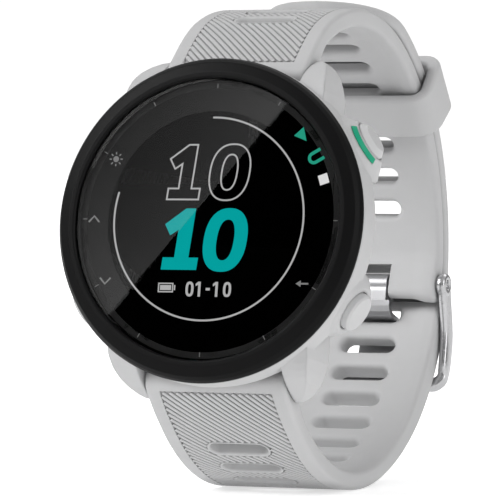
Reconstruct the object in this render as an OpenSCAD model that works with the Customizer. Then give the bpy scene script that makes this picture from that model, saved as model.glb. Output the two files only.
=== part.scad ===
// Round running watch with a closed two-piece silicone strap. Millimetres.
// The origin is the centre of the wrist loop, +X points to the 3 o'clock side, +Z up along the loop,
// and the dial faces -Y, leaning back a little.
// The head frame has its origin at the centre of the bezel's outer edge, x to 3 o'clock, y to 12 o'clock
// and z out of the dial. Places round the loop are angles in degrees, from +Y (0) through +Z (90).

/* [Head] */
// Diameter of the case and the bezel
case_d = 42.6; // [42.4:0.1:43]
// How far the dial leans back
lean = 10; // [8:1:12]
// Distance from the wrist centre to the bezel's outer edge plane, along the dial's normal
head_reach = 29.3; // [29.1:0.1:29.5]
// How far the dial's centre sits below the wrist centre, along the dial
head_drop = 0.8; // [0.6:0.1:1]
// Height of the bezel's inner lip above its outer edge
bezel_rise = 1.8; // [1.6:0.1:2]
// Diameter of the cover glass
lens_d = 36.8; // [36.6:0.1:37]
// Thickness of the cover glass
lens_t = 1; // [0.8:0.1:1.1]
// Diameter of the round display
display_d = 28.6; // [27:0.1:29]

/* [Lugs] */
// Gap between a pair of lugs, for a 20 mm strap
lug_gap = 20.4; // [20.3:0.1:20.5]
// Width of one lug
lug_w = 3.8; // [3.4:0.1:4]
// Distance from the dial's centre to each spring bar
bar_y = 20.4; // [20.3:0.1:20.6]
// Depth of the spring bars behind the bezel's outer edge
bar_z = 7; // [6.9:0.1:7.1]

/* [Buttons] */
// Diameter of a button cap
cap_d = 5.2; // [5:0.1:5.3]
// How far a button travels when pressed
press = 0.45; // [0.3:0.05:0.45]
// Angle of the buttons from the 3 o'clock or 9 o'clock line
button_step = 30; // [28:1:32]
// Depth of the button axes behind the bezel's outer edge
button_z = 5.2; // [5:0.1:5.3]

/* [Strap] */
// Width of the strap
strap_w = 20; // [19.8:0.1:20]
// Inner radius of the loop
loop_r = 30; // [29.9:0.1:30.1]
// Thickness of the strap
strap_t = 2.5; // [2.4:0.1:2.6]
// Length of a ventilation slot
slot_l = 8.3; // [7:0.1:9]
// Width of a ventilation slot
slot_w = 2.4; // [2.3:0.1:2.6]
// Angle between two slots
slot_pitch = 9; // [9:0.05:9.1]

/* [Keeper and buckle] */
// Place of the keeper's middle round the loop
keeper_at = 39; // [36:1:42]
// Length of the keeper along the strap, as an angle
keeper_span = 13.5; // [10:0.5:14]
// Thickness of the buckle's arms
arm_t = 1.35; // [1.2:0.05:1.5]
// Width of the buckle's tongue
tongue_w = 6.6; // [6:0.1:6.8]

/* [Hidden] */
$fn = 96;

eps = 0.01;
case_r = case_d / 2;
lens_r = lens_d / 2;
lens_top = bezel_rise - 0.4;
lens_back = lens_top - lens_t;
cavity_r = 18.6;        // inside of the case wall
cavity_flat = 16.9;     // flats of the cavity behind the strap ends
cover_r = 18.4;         // screwed back cover
cover_flat = 17.4;
seat_z = -7.9;          // where the back cover seats
cover_z = -9.2;         // outside of the back cover
sensor_z = -9.8;        // outside of the sensor window
screw_r = 16;           // radius of the screw circle
lug_tip = 22.6;         // reach of the lugs from the dial's centre

// Button stations: name order is start, back, light, up, down.
button_angles = [button_step, -button_step, 180 - button_step, 180, 180 + button_step];
cap_faces = [23.35, 22.6, 22.6, 22.6, 22.6]; // radius of each cap's outer face
cap_bevels = [0.7, 0.25, 0.25, 0.25, 0.25];
boss_faces = [22.5, 21.6, 21.6, 21.6, 21.6]; // outer face of each button's boss
boss_radii = [2.95, 3.5, 3.5, 3.5, 3.5];
boss_feet = [5.05, 4.7, 4.7, 4.7, 4.7];      // radius where a boss's sloping side starts
boss_foot = 20.4;       // how far out that is
pin_sunk = 0.35;        // how far the buckle pin ends inside the eyes
accent_r = 3.35;        // middle of the accent strip round the start button, on the boss's slope
accent_out = 22.1;
accent_w = 0.7;
accent_half = 50;       // half of the angle that the strip spans
accent_turn = 15;       // angle that the strip's middle is turned down the dial
recess_r = 20.4;        // floor of the cap's recess
pocket_r = 19.6;        // floor of the return spring's pocket
cap_back = recess_r + press + 0.1;  // back of the cap, a press clear of its recess floor
stem_d = 1.5;
stem_end = 17.6;
fit = 0.03;             // radial running clearance

outer_r = loop_r + strap_t;
tail_r = outer_r + 0.25;    // inside of the overlapping tail
tail_t = 2.1;
strap_half = strap_w / 2;
bar_r = 0.85;               // spring bar in the strap
barrel_r = 2.1;             // strap end round each bar
pivot_at = -10.9;           // buckle pivot, round the loop
pivot_r = 30.5;
upper_slots = [for (k = [1:12]) k * slot_pitch + 0.3];
tongue_slot = -18.3;        // slot that holds the tongue
tail_pitch = 9.1;           // angle between two slots where the tail lies further out
lower_slots = concat([for (k = [1:8]) tongue_slot + k * tail_pitch],
    [for (k = [0:12]) tongue_slot - (slot_pitch - 0.2) * k - 0.0185 * k * k]);
tail_end = 79;              // tip of the tail, round the loop
wrap_w = 5.4;               // width of the tongue where it wraps the pivot

// Spring bar places in the wrist frame, from their height on the dial
function loop_angle(y) = 180 - lean - atan2(y - head_drop, head_reach - bar_z);
function loop_radius(y) = norm([y - head_drop, head_reach - bar_z]);
upper_bar_at = loop_angle(bar_y);
upper_bar_r = loop_radius(bar_y);
lower_bar_at = loop_angle(-bar_y) - 360;
lower_bar_r = loop_radius(-bar_y);

// ---- Helpers ----
function ease(t) = let (u = min(1, max(0, t))) u * u * (3 - 2 * u);
function polar(r, a) = [r * cos(a), r * sin(a)];

// Places children, drawn in the head frame, in the wrist frame
module on_head() rotate([90 - lean, 0, 0]) translate([0, -head_drop, head_reach]) children();

// A disc between two heights
module disc(r, z0, z1) translate([0, 0, z0]) cylinder(r = r, h = z1 - z0);

// A disc with flats at top and bottom
module flat_disc(r, flat, z0, z1) intersection() {
    disc(r, z0, z1);
    translate([-r - 1, -flat, z0 - 1]) cube([2 * r + 2, 2 * flat, z1 - z0 + 2]);
}

// A ring between two radii and two heights
module ring(r0, r1, z0, z1) difference() {
    disc(r1, z0, z1);
    disc(r0, z0 - 1, z1 + 1);
}

// A block with rounded vertical edges, centred in x and y
module pad(w, l, r, z0, z1) {
    translate([-w / 2 + r, -l / 2, z0]) cube([w - 2 * r, l, z1 - z0]);
    translate([-w / 2, -l / 2 + r, z0]) cube([w, l - 2 * r, z1 - z0]);
    for (x = [-1, 1], y = [-1, 1])
        translate([x * (w / 2 - r), y * (l / 2 - r), z0]) cylinder(r = r, h = z1 - z0);
}

// Places children, drawn along z as radius from the dial's axis, at a button station of the head frame
module at_button(i) rotate([0, 0, button_angles[i]]) translate([0, 0, -button_z]) rotate([0, 90, 0]) children();

// Children drawn in the y-z plane, extruded from x0 to x1
module across(x0, x1) translate([x0, 0, 0]) rotate([90, 0, 90]) linear_extrude(x1 - x0) children();

// Children drawn with x to 3 o'clock, y out from the wrist centre and z round the loop
module round_loop(a) rotate([a, 0, 0]) children();

// A cylinder across the strap at a place in the loop
module pin_at(a, r, pin_r, x0, x1) round_loop(a) translate([x0, r, 0]) rotate([0, 90, 0])
    cylinder(r = pin_r, h = x1 - x0);

// A ventilation slot through the strap, from one radius to another
module slot(a, r0, r1) round_loop(a) {
    half = (slot_l - slot_w) / 2;
    for (x = [-half, half]) translate([x, r0, 0]) rotate([-90, 0, 0]) cylinder(d = slot_w, h = r1 - r0);
    translate([-half, r0, -slot_w / 2]) cube([2 * half, r1 - r0, slot_w]);
}

// A closed helical spring along z
module coil(r, wire, h, turns) {
    sides = 6;
    steps = turns * 12;
    points = [for (i = [0:steps], j = [0:sides - 1])
        let (a = i * 30, b = j * 360 / sides, q = r + wire * cos(b))
        [q * cos(a), q * sin(a), wire + (h - 2 * wire) * i / steps + wire * sin(b)]];
    faces = concat(
        [[for (j = [0:sides - 1]) j]],
        [[for (j = [0:sides - 1]) steps * sides + sides - 1 - j]],
        [for (i = [0:steps - 1], j = [0:sides - 1])
            [i * sides + j, (i + 1) * sides + j, (i + 1) * sides + (j + 1) % sides, i * sides + (j + 1) % sides]]);
    polyhedron(points = points, faces = faces);
}

// ---- Case ----
// One lug on the +x side of the 12 o'clock end
module lug() {
    x0 = lug_gap / 2;
    intersection() {
        translate([x0, 0, 0]) rotate([90, 0, 90]) linear_extrude(lug_w) polygon([
            [12, -1], [15, -1.35], [17, -1.75], [18.1, -2.15], [19, -2.75], [19.8, -3.55], [20.6, -4.6],
            [21.4, -5.9], [22.1, -7.2], [lug_tip - 0.1, -8.3], [lug_tip - 0.25, -8.9],
            [lug_tip - 0.8, -9.3], [lug_tip - 2.4, -9.4], [15, -9.4], [12, -8.8]]);
        translate([0, 0, -12]) linear_extrude(14) polygon([
            [x0 - 1, 11], [x0 + lug_w + 0.7, 11], [x0 + lug_w + 0.5, 15], [x0 + lug_w, 17.4],
            [x0 + lug_w - 0.4, 19.1], [x0 + lug_w - 0.9, 20.4], [x0 + lug_w - 1.6, 21.4],
            [x0 + lug_w - 2.4, 22.1], [x0 + lug_w - 3.1, 22.5], [x0 - 1, lug_tip]]);
    }
}

// Posts that the back cover's screws go into
module screw_posts() for (a = [45:90:315]) rotate(a) translate([screw_r, 0, seat_z - 1.5]) cylinder(r = 1.5, h = 5);

module case_middle() color("gainsboro") on_head() {
    difference() {
        union() {
            rotate_extrude() polygon([
                [0, -0.1], [case_r - 0.15, -0.1], [case_r, -0.3], [case_r, -4.1], [case_r - 0.4, -4.8],
                [19.5, -8.6], [19.2, -8.8], [0, -8.8]]);
            for (x = [0, 1], y = [0, 1]) mirror([x, 0, 0]) mirror([0, y, 0]) lug();
            for (i = [0:4]) at_button(i) intersection() {
                translate([0, 0, boss_foot])
                    cylinder(r1 = boss_feet[i], r2 = boss_radii[i], h = boss_faces[i] - boss_foot);
                translate([-5, -6, 16]) cube([8.4, 12, 8]);
            }
        }
        // Cavity, with flats behind the strap ends and a ledge for the back cover
        difference() {
            disc(cavity_r, -6.9, 1);
            for (y = [-1, 1]) translate([-cavity_r - 1, y > 0 ? cavity_flat : -cavity_flat - 4, -7])
                cube([2 * cavity_r + 2, 4, 3]);
            screw_posts();
        }
        difference() {
            flat_disc(16.8, 16.2, seat_z - 1, -6.8);
            screw_posts();
        }
        flat_disc(cover_r + 0.05, cover_flat + 0.05, -10, seat_z);
        // Bezel seat
        disc(19.95, -1.7, 1);
        // Gasket groove
        difference() {
            flat_disc(17.9, 17, seat_z - eps, seat_z + 0.4);
            flat_disc(17.3, 16.5, seat_z - 1, seat_z + 1);
        }
        // Screw pilot holes
        for (a = [45:90:315]) rotate(a) translate([screw_r, 0, seat_z - 1]) cylinder(r = 0.45, h = 4);
        // Room for the strap ends between the lugs
        for (y = [-1, 1]) translate([-lug_gap / 2, y > 0 ? 18.1 : -26.1, -12]) cube([lug_gap, 8, 7.35]);
        // Spring bar holes in the lugs
        for (y = [-bar_y, bar_y]) translate([-lug_gap / 2 - 1.4, y, -bar_z]) rotate([0, 90, 0])
            cylinder(r = 0.55, h = lug_gap + 2.8);
        for (i = [0:4]) at_button(i) {
            disc(cap_d / 2 + 0.15, recess_r, 30);
            disc(1.75, pocket_r, 30);
            disc(stem_d / 2 + fit, 15, 30);
            disc(1.25, 18.85, 19.3);
        }
        // Groove of the accent strip round the start button
        at_button(0) accent_strip(accent_w + 0.04, accent_half + 0.4, -0.32, 0.5);
    }
}

// Arc concentric with a button, on the side that faces the dial's front, half its span to each side
// Strip round a button's axis, square to the boss's slope, from low to high over it
module accent_strip(w, half, low, high) rotate([0, 0, 180 + accent_turn - half])
    rotate_extrude(angle = 2 * half) translate([accent_r, accent_out]) rotate(-45)
        translate([-w / 2, low]) square([w, high - low]);

module start_accent() color("mediumseagreen") on_head() at_button(0)
    accent_strip(accent_w, accent_half, -0.3, 0.12);

module bezel() color([0.16, 0.16, 0.17]) on_head() rotate_extrude() polygon([
    [lens_r + 0.1, lens_back - 0.05], [lens_r + 0.1, bezel_rise - 0.25], [lens_r + 0.3, bezel_rise],
    [19.3, bezel_rise], [20.6, bezel_rise - 0.45], [case_r - 0.25, bezel_rise - 1], [case_r, 0.3],
    [case_r, 0], [case_r - 0.1, -0.1], [19.9, -0.1], [19.9, -1.65], [18.7, -1.65], [18.7, -0.6],
    [17.2, -0.6], [17.2, lens_back - 0.25], [lens_r - 0.2, lens_back - 0.25]]);

module lens_adhesive() color([0.1, 0.1, 0.1]) on_head() ring(17.3, lens_r - 0.25, lens_back - 0.24, lens_back);

module lens() color([0.1, 0.1, 0.12, 0.5]) on_head() {
    disc(lens_r, lens_back, lens_top - 0.2);
    translate([0, 0, lens_top - 0.2]) cylinder(r1 = lens_r, r2 = lens_r - 0.2, h = 0.2);
}

// ---- Display stack ----
module display_panel() color([0.05, 0.05, 0.06]) on_head() {
    disc(display_d / 2, -0.75, lens_back);
    translate([-7, -15.6, -0.75]) cube([14, 4, 0.5]);
}

module backlight_guide() color("white") on_head() disc(display_d / 2 - 0.3, -1.35, -0.75);

module display_flex() color("darkorange") on_head() {
    translate([-3.5, -16.6, -0.9]) cube([7, 2.2, 0.15]);
    translate([-3.5, -16.75, -3]) cube([7, 0.15, 2.25]);
}

module inner_chassis() color([0.2, 0.2, 0.22]) on_head() difference() {
    disc(18.3, -2.6, -1.7);
    translate([-4, -17.2, -3]) cube([8, 1, 2]);
    for (x = [-9, 9]) translate([x, 6, -3]) cylinder(r = 1.5, h = 2);
}

module gps_antenna() color("goldenrod") on_head() {
    difference() {
        ring(15.2, 16.9, -1.7, -1.45);
        translate([-4.2, -18, -2]) cube([8.4, 4, 1]);
    }
    translate([-18.2, -1, -1.7]) cube([1.4, 2, 0.25]);
}

// ---- Electronics ----
module main_board() color("darkgreen") on_head() difference() {
    disc(16.6, -3.8, -3);
    translate([-4, -17.5, -4]) cube([8, 1.2, 2]);
    for (i = [0:4]) rotate(button_angles[i]) translate([15.3, -2.6, -4]) cube([3, 5.2, 2]);
}

module shield_can() color("silver") on_head() translate([0, 2.5, 0]) pad(15, 12, 0.8, -3, -2.62);

module battery() color("lightsteelblue") on_head() translate([0, 2.5, 0]) pad(20, 15, 1.5, -6.9, -4.1);

module vibration_motor() color("silver") on_head() translate([-5.5, -10.2, 0]) {
    disc(4, -6.4, -3.85);
    translate([-1.5, 3, -4.1]) cube([3, 1.8, 0.25]);
}

module piezo_beeper() color("goldenrod") on_head() translate([5.2, -10.4, 0]) {
    disc(4.4, -6.7, -6.35);
    disc(3.2, -6.35, -6.1);
}

module tact_switches() color("dimgray") on_head() for (i = [0:4]) at_button(i) {
    translate([-1.5, -2, 15.5]) cube([3, 4, 1.2]);
    disc(0.8, 16.7, 17.1);
}

// ---- Back ----
module back_cover() color([0.75, 0.75, 0.75]) on_head() difference() {
    union() {
        flat_disc(cover_r, cover_flat, cover_z + 0.4, seat_z);
        flat_disc(cover_r - 0.4, cover_flat - 0.4, cover_z, cover_z + 0.4 + eps);
        disc(9.6, sensor_z + 0.2, cover_z + eps);
    }
    disc(8.8, seat_z - 1, seat_z + 1);
    disc(7.4, -11, 0);
    for (a = [45:90:315]) rotate(a) translate([screw_r, 0, -11]) {
        cylinder(r = 0.65, h = 5);
        cylinder(r = 1.25, h = 11 + cover_z + 0.55);
    }
    translate([0, -13, 0]) pad(9.2, 3.4, 1.2, -11, cover_z + 0.35);
    for (k = [-1.5:1.5]) translate([k * 2, -13, -11]) cylinder(r = 0.62, h = 5);
}

module sensor_window() color([0.08, 0.08, 0.09]) on_head() {
    disc(7.35, sensor_z, -8.9);
    disc(8.75, -8.9, -8.5);
}

module sensor_board() color("darkgreen") on_head() disc(8.6, -7.9, -7.4);

module sensor_leds() color("limegreen") on_head() {
    for (a = [0:120:240]) rotate(a + 90) translate([4, -0.8, -8.45]) cube([1.6, 1.6, 0.55]);
    translate([-1.4, -1.4, -8.45]) cube([2.8, 2.8, 0.55]);
}

module back_gasket() color([0.15, 0.15, 0.15]) on_head() difference() {
    flat_disc(17.85, 16.95, seat_z, seat_z + 0.38);
    flat_disc(17.35, 16.55, seat_z - 1, seat_z + 1);
}

module case_screws() color("silver") on_head() for (a = [45:90:315]) rotate(a) translate([screw_r, 0, 0])
    difference() {
        union() {
            disc(1.15, cover_z, cover_z + 0.55);
            disc(0.44, cover_z + 0.5, -5);
        }
        translate([0, 0, cover_z - eps]) cylinder(r = 0.5, h = 0.3, $fn = 6);
    }

module charging_contacts() color("gold") on_head() for (k = [-1.5:1.5]) translate([k * 2, -13, 0]) {
    disc(0.6, cover_z + 0.1, -7.5);
    disc(0.85, -7.85, -7.5);
}

// ---- Buttons ----
module button(i) color("whitesmoke") on_head() at_button(i) difference() {
    union() {
        disc(cap_d / 2, cap_back, cap_faces[i] - cap_bevels[i]);
        translate([0, 0, cap_faces[i] - cap_bevels[i] - eps])
            cylinder(r1 = cap_d / 2, r2 = cap_d / 2 - cap_bevels[i], h = cap_bevels[i] + eps);
        disc(stem_d / 2, stem_end, cap_back + eps);
    }
    ring(stem_d / 2 - 0.25, stem_d, 18.05, 18.45);
}

module button_clip(i) color("silver") on_head() at_button(i) difference() {
    ring(stem_d / 2 - 0.25, 1.5, 18.1, 18.4);
    translate([-0.4, 0, 17]) cube([0.8, 3, 3]);
}

module button_spring(i) color("silver") on_head() at_button(i)
    translate([0, 0, pocket_r]) coil(1.3, 0.16, cap_back - pocket_r, 3);

module button_seals() color([0.15, 0.15, 0.15]) on_head() for (i = [0:4]) at_button(i)
    translate([0, 0, 19.07]) rotate_extrude() translate([1, 0]) circle(r = 0.21);

module start_button() button(0);
module back_button() button(1);
module light_button() button(2);
module up_button() button(3);
module down_button() button(4);
module start_clip() button_clip(0);
module back_clip() button_clip(1);
module light_clip() button_clip(2);
module up_clip() button_clip(3);
module down_clip() button_clip(4);
module start_spring() button_spring(0);
module back_spring() button_spring(1);
module light_spring() button_spring(2);
module up_spring() button_spring(3);
module down_spring() button_spring(4);

// ---- Strap ----
// Side outline between two angles, from functions for the inner and outer radius
upper_from = pivot_at;
upper_to = upper_bar_at - 2.6;      // short of the spring bar's bore
lower_from = lower_bar_at + 2.6;
function upper_outer(a) = outer_r - 0.75 * ease((a - 110) / (upper_to - 110)) - 0.35 * ease(1 - (a - pivot_at) / 7);
function upper_inner(a) = loop_r - 1.7 * ease((a - 114) / (upper_to - 114)) - 1.2 * ease(1 - (a - pivot_at) / 9);
function lower_outer(a) = outer_r + 0.3 * ease(1 - (a - lower_from) / 14)
    + (tail_r + tail_t - outer_r) * ease((a + 78) / 66) - 0.5 * ease((a - 60) / 28);
function lower_inner(a) = loop_r - 1 * ease(1 - (a - lower_from) / 14) + 0.25 * ease((a + 78) / 20)
    + 0.9 * ease((a + 50) / 30) + (tail_r - loop_r - 1.15) * ease((a + 18.5) / 6.5);

module upper_side() polygon(concat(
    [for (k = [0:46]) let (a = upper_from + (upper_to - upper_from) * k / 46) polar(upper_outer(a), a)],
    [for (k = [46:-1:0]) let (a = upper_from + (upper_to - upper_from) * k / 46) polar(upper_inner(a), a)]));

module lower_side() polygon(concat(
    [for (k = [0:78]) let (a = lower_from + (tail_end - lower_from) * k / 78) polar(lower_outer(a), a)],
    [for (k = [78:-1:0]) let (a = lower_from + (tail_end - lower_from) * k / 78) polar(lower_inner(a), a)]));

// Bore and lever window of a spring bar at a strap end
module bar_cuts(y) on_head() translate([0, y, -bar_z]) {
    translate([-strap_half - 1, 0, 0]) rotate([0, 90, 0]) cylinder(r = bar_r + 0.02, h = strap_w + 2);
    translate([5, -0.75, -4]) cube([3.1, 1.5, 4]);
}

module strap_upper() color("gainsboro") difference() {
    union() {
        across(-strap_half, strap_half) upper_side();
        pin_at(upper_bar_at, upper_bar_r, barrel_r, -strap_half, strap_half);
        pin_at(pivot_at, pivot_r, barrel_r, -strap_half, strap_half);
    }
    bar_cuts(bar_y);
    for (a = upper_slots) slot(a, 26, 36);
    // Notch for the tongue, and the buckle pin's bore
    round_loop(pivot_at) translate([-wrap_w / 2 - 0.25, 26, -4]) cube([wrap_w + 0.5, 8, 7.2]);
    pin_at(pivot_at, pivot_r, 0.8, -strap_half - 1, strap_half + 1);
}

module strap_lower() color("gainsboro") difference() {
    union() {
        across(-strap_half, strap_half) lower_side();
        pin_at(lower_bar_at, lower_bar_r, barrel_r, -strap_half, strap_half);
    }
    bar_cuts(-bar_y);
    for (a = lower_slots) slot(a, 26, 38);
    // Round tip of the tail
    difference() {
        translate([-12, 0, 28]) cube([24, 12, 10]);
        translate([0, 11.4, 27]) cylinder(r = strap_half, h = 12);
    }
}

// ---- Spring bars ----
module spring_bar(y) color("silver") on_head() translate([0, y, -bar_z]) difference() {
    union() {
        translate([-9.8, 0, 0]) rotate([0, 90, 0]) cylinder(r = bar_r, h = 19.6);
        translate([-11.4, 0, 0]) rotate([0, 90, 0]) cylinder(r = 0.5, h = 2);
    }
    translate([2.6, 0, 0]) rotate([0, 90, 0]) cylinder(r = 0.55, h = 8);
    translate([5.2, -0.6, -2]) cube([2.8, 1.2, 2]);
}

module release_pin(y) color("silver") on_head() translate([0, y, -bar_z]) {
    translate([5.9, 0, 0]) rotate([0, 90, 0]) cylinder(r = 0.52, h = 3.8);
    translate([9.6, 0, 0]) rotate([0, 90, 0]) cylinder(r = 0.5, h = 1.8);
    translate([7.3, 0, -2.9]) cylinder(r = 0.5, h = 2.9);
    translate([7.3, 0, -3.1]) cylinder(r = 0.62, h = 0.7);
}

module bar_spring(y) color("silver") on_head() translate([2.6, y, -bar_z]) rotate([0, 90, 0])
    coil(0.38, 0.12, 3.3, 8);

module upper_spring_bar() spring_bar(bar_y);
module lower_spring_bar() spring_bar(-bar_y);
module upper_release_pin() release_pin(bar_y);
module lower_release_pin() release_pin(-bar_y);
module upper_bar_spring() bar_spring(bar_y);
module lower_bar_spring() bar_spring(-bar_y);

// ---- Keeper ----
module keeper_loop() color("lightgray") {
    in_r = loop_r - 0.25;
    out_r = tail_r + tail_t + 1.1;
    round_loop(keeper_at - keeper_span / 2) rotate([90, 0, 90]) rotate_extrude(angle = keeper_span)
        difference() {
            polygon([
                [in_r - 1.2, -strap_half - 1], [in_r - 1.6, -strap_half + 1], [in_r - 1.6, strap_half - 1],
                [in_r - 1.2, strap_half + 1], [in_r + 0.6, strap_half + 1.9], [out_r - 0.4, strap_half + 2],
                [out_r + 1.3, strap_half + 1], [out_r + 1.7, strap_half - 1], [out_r + 1.7, -strap_half + 1],
                [out_r + 1.3, -strap_half - 1], [out_r - 0.4, -strap_half - 2], [in_r + 0.6, -strap_half - 1.9]]);
            translate([in_r, -strap_half - 0.3]) square([out_r - in_r, strap_w + 0.6]);
        }
}

// ---- Buckle ----
frame_inner = strap_half + 0.15;
bar_bend = [35.4, -34.8];    // middle of the frame's cross bar, as [radius, angle]

// One edge of a thick line through points, on side 1 or -1
function edge(points, t, side) = [for (k = [0:len(points) - 1])
    let (a = points[max(0, k - 1)], b = points[min(len(points) - 1, k + 1)], d = (b - a) / norm(b - a))
    points[k] + side * t / 2 * [-d[1], d[0]]];

// A thick line through points of the loop, given as [radius, angle]
module strip(route, t) {
    points = [for (q = route) polar(q[0], q[1])];
    back = edge(points, t, 1);
    polygon(concat(edge(points, t, -1), [for (k = [len(back) - 1:-1:0]) back[k]]));
}

arm_w = 2.1;
bar_d = 1.9;
arm_route = [[pivot_r, pivot_at], [31.4, -14], [32.3, -17], [33.2, -19.7], [34, -22.3], [34.6, -25.3],
    [35.1, -29], [35.35, -32], bar_bend];
wrap_route = [[29.5, -11.4], [29.4, -13], [29.45, -15.2], [29.5, -16.2]];
blade_route = [[29.45, -15.6], [29.55, -17.1], [29.9, -18.2], [30.6, -18.9], [31.6, -19.1], [33, -19.05],
    [34.4, -19.05], [35.5, -19.5], [36.3, -20.6], [36.8, -22.5], [37, -26], [37, -32], [36.95, -36.8]];

module buckle_frame() color("silver") {
    for (x = [-frame_inner - arm_t, frame_inner]) difference() {
        across(x, x + arm_t) union() {
            strip(arm_route, arm_w);
            translate(polar(pivot_r, pivot_at)) circle(r = 1.6);
            translate(polar(bar_bend[0], bar_bend[1])) circle(r = arm_w / 2 + 0.1);
        }
        pin_at(pivot_at, pivot_r, 0.78, -12, 12);
    }
    pin_at(bar_bend[1], bar_bend[0], bar_d / 2, -frame_inner - 0.2, frame_inner + 0.2);
}

module buckle_pin() color("silver")
    pin_at(pivot_at, pivot_r, 0.75, -frame_inner - arm_t + pin_sunk, frame_inner + arm_t - pin_sunk);

module buckle_tongue() color("lightgray") difference() {
    union() {
        across(-wrap_w / 2, wrap_w / 2) union() {
            translate(polar(pivot_r, pivot_at)) circle(r = 1.5);
            strip(wrap_route, 0.7);
        }
        across(-tongue_w / 2, tongue_w / 2) strip(blade_route, 0.7);
    }
    pin_at(pivot_at, pivot_r, 0.78, -12, 12);
}

case_middle();
bezel();
lens();
lens_adhesive();
display_panel();
backlight_guide();
display_flex();
inner_chassis();
main_board();
shield_can();
gps_antenna();
battery();
vibration_motor();
piezo_beeper();
back_cover();
back_gasket();
case_screws();
sensor_window();
sensor_board();
sensor_leds();
charging_contacts();
tact_switches();
button_seals();
start_accent();
start_button();
back_button();
light_button();
up_button();
down_button();
start_clip();
back_clip();
light_clip();
up_clip();
down_clip();
start_spring();
back_spring();
light_spring();
up_spring();
down_spring();
strap_upper();
strap_lower();
upper_spring_bar();
lower_spring_bar();
upper_release_pin();
lower_release_pin();
upper_bar_spring();
lower_bar_spring();
keeper_loop();
buckle_frame();
buckle_tongue();
buckle_pin();
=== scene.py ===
"""Round running watch with a closed silicone strap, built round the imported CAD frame."""

import bisect
import math

import bmesh
import bpy
from mathutils import Matrix, Vector


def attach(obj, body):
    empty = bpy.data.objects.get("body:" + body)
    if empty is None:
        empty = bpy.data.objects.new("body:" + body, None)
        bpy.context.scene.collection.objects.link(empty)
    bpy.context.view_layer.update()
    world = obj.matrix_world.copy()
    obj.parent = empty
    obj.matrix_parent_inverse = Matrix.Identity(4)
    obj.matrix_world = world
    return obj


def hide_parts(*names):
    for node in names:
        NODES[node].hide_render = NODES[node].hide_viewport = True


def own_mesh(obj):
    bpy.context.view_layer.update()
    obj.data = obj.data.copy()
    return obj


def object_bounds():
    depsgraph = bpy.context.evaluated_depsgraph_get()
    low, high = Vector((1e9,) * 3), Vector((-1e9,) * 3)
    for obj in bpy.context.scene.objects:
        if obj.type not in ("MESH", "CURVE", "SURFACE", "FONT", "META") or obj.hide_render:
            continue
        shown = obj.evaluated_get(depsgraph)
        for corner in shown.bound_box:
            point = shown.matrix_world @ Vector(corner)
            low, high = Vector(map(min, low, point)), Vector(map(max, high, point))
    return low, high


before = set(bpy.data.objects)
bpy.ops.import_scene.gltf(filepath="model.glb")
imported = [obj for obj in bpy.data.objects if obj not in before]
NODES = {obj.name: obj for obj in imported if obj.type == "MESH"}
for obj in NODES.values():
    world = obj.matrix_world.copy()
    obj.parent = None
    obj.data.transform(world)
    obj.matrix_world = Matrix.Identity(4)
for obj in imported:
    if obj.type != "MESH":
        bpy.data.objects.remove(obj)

CAD_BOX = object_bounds()
MM = 0.001
KEYS = ["start", "back", "light", "up", "down"]

# ---- Places, in millimetres and degrees, as in the CAD ----
LEAN = 10.0                            # how far the dial leans back
HEAD_UP, HEAD_OUT = -0.8, 29.3         # the dial frame's origin from the wrist centre
HEAD = Matrix.Rotation(math.radians(90 - LEAN), 4, "X") @ Matrix.Translation((0, HEAD_UP * MM, HEAD_OUT * MM))
LOOP_R, STRAP_T, HALF_W = 30.0, 2.5, 10.0
OUTER_R = LOOP_R + STRAP_T
TAIL_R, TAIL_T, TAIL_END = OUTER_R + 0.25, 2.1, 79.0
BAR_Y, BAR_Z, BARREL_R = 20.4, 7.0, 2.1
PIVOT_AT, PIVOT_R, LOBE_R = -10.9, 30.5, 2.5
NOTCH_HALF, NOTCH_END = 2.95, -5.4
SLOT_HALF, SLOT_SPINE = 1.2, 2.95      # half height, and half length between the round ends' middles
UPPER_SLOTS = [9.0 * k + 0.3 for k in range(1, 13)]
TONGUE_SLOT = -18.3
LOWER_SLOTS = ([TONGUE_SLOT - 8.8 * k - 0.0185 * k * k for k in range(12, -1, -1)]
               + [TONGUE_SLOT + 9.1 * k for k in range(1, 9)])


def bar_place(y):
    """Angle round the loop, from +Y through +Z, and radius of a spring bar at height y on the dial."""
    up, out = y + HEAD_UP, HEAD_OUT - BAR_Z
    return 180 - LEAN - math.degrees(math.atan2(up, out)), math.hypot(up, out)


UPPER_BAR_AT, UPPER_BAR_R = bar_place(BAR_Y)
LOWER_BAR_AT, LOWER_BAR_R = bar_place(-BAR_Y)
LOWER_BAR_AT -= 360


def ease(t):
    """A smooth step from 0 to 1."""
    t = min(1.0, max(0.0, t))
    return t * t * (3 - 2 * t)


def ring_point(radius, angle):
    """Point of the y-z plane at a radius and angle round the loop."""
    a = math.radians(angle)
    return Vector((radius * math.cos(a), radius * math.sin(a)))


# ---- Meshes ----
def put(name, data):
    """An object in the scene from a mesh, a curve, a light or a camera."""
    obj = bpy.data.objects.new(name, data)
    bpy.context.scene.collection.objects.link(obj)
    return obj


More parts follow.
